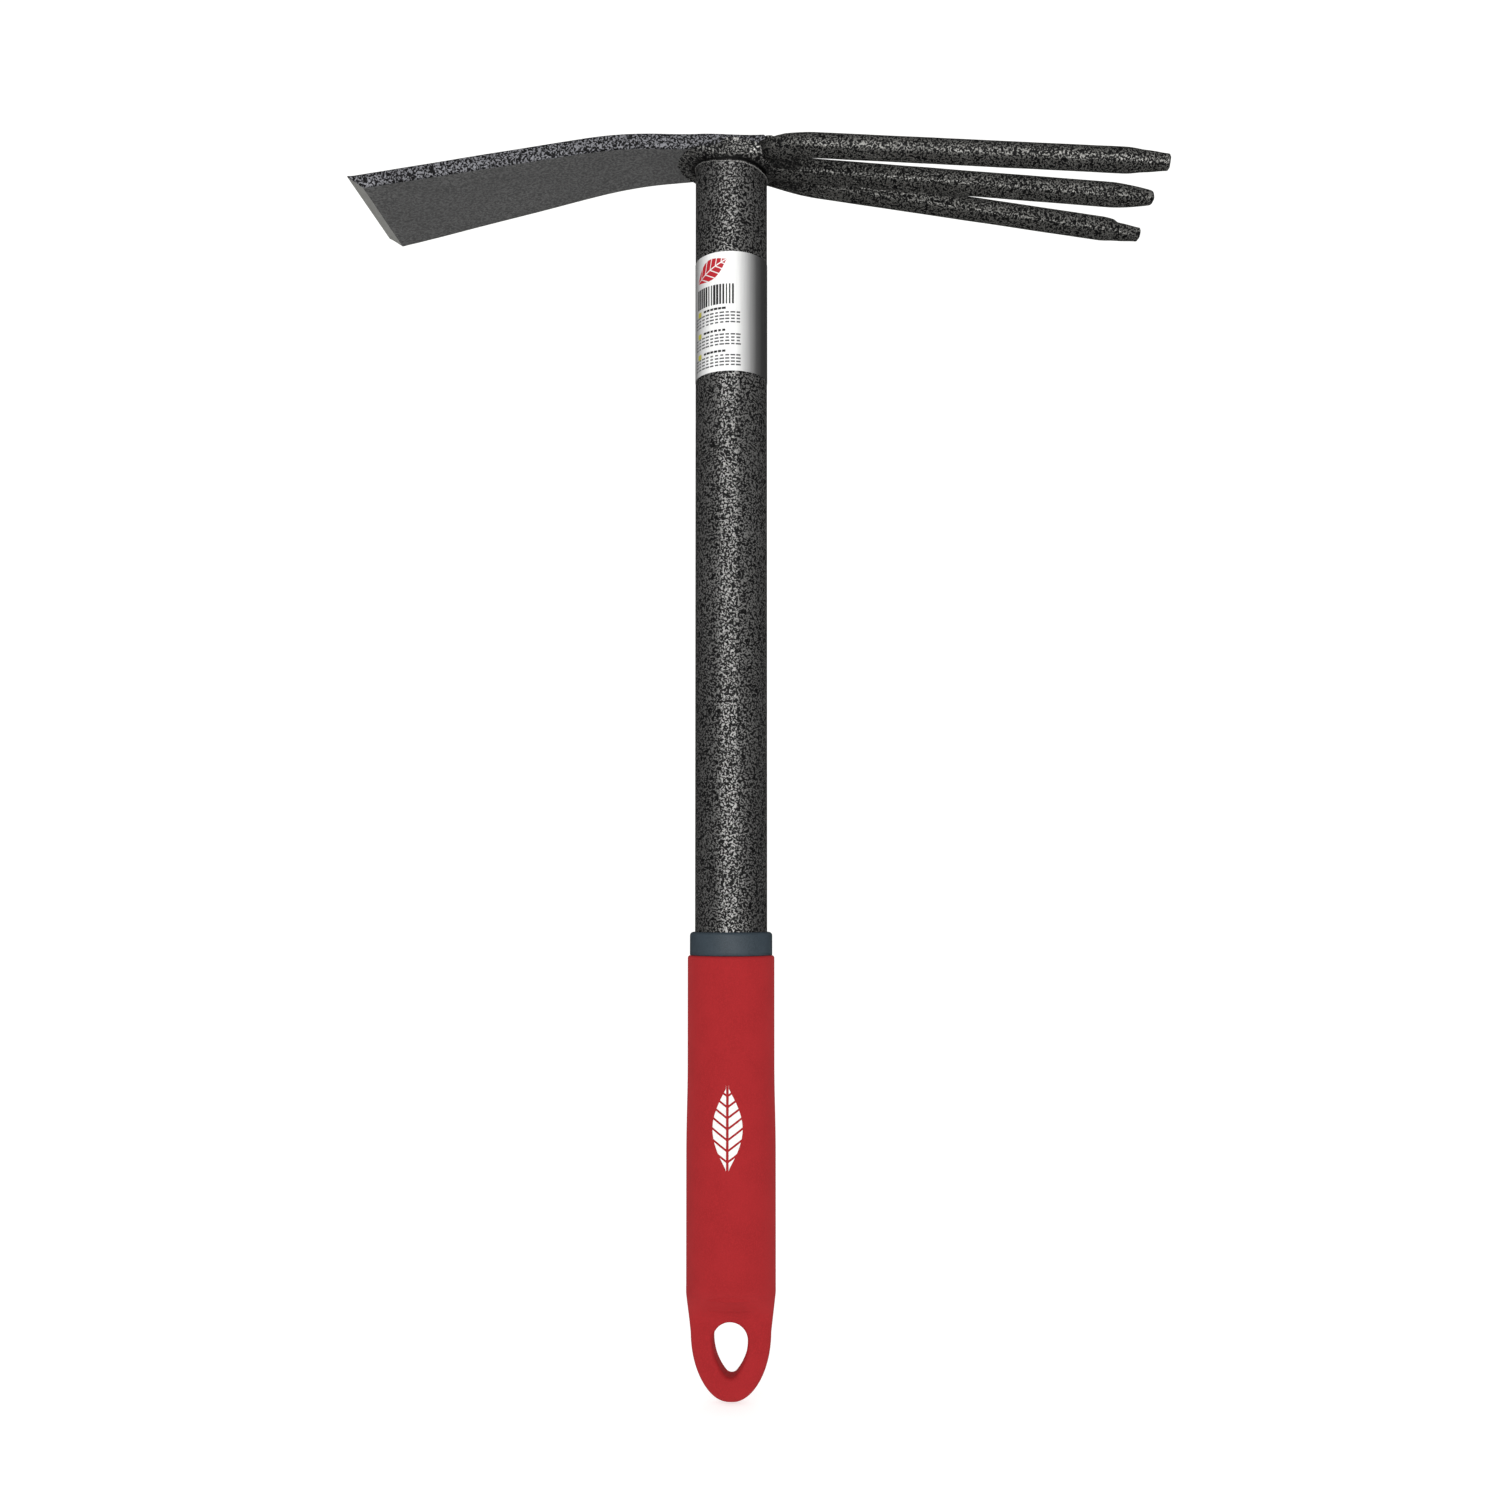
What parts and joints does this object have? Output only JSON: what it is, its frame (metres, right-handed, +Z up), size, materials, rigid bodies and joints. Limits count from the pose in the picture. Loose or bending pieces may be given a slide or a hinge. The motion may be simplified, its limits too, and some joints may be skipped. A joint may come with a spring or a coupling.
{
  "type": "hand hoe cultivator",
  "caption": "Short hand tool with a flared hoe blade and round cultivator tines welded across a steel tube, and a soft grip with a hang hole.",
  "frame": {"origin": "middle of the straight round part of the grip, on the handle's axis", "axes": "+Z up the handle towards the head, +X towards the tines, -X towards the hoe blade, -Y towards the face with the printed emblem"},
  "size_m": [0.2805, 0.057, 0.443],
  "materials": {
    "hammered_steel": "black and silver hammered powder coat",
    "forged_head": "fine hammered powder coat over forged steel",
    "weld_metal": "powder coat over weld beads",
    "slate_plastic": "satin moulded polypropylene",
    "red_rubber": "fine matt moulded elastomer",
    "label_film": "satin film label",
    "red_ink": "printed ink",
    "white_ink": "printed ink"
  },
  "bodies": {
    "root": {"handle_tube": "hammered_steel", "hoe_blade": "forged_head", "tine_front": "hammered_steel", "tine_middle": "hammered_steel", "tine_back": "hammered_steel", "tube_weld": "weld_metal", "web_weld_front": "weld_metal", "web_weld_back": "weld_metal", "cap_weld": "weld_metal", "grip_core": "slate_plastic", "grip_sleeve": "red_rubber", "label": "label_film", "label_emblem": "red_ink", "grip_emblem": "white_ink"}
  },
  "joints": []
}
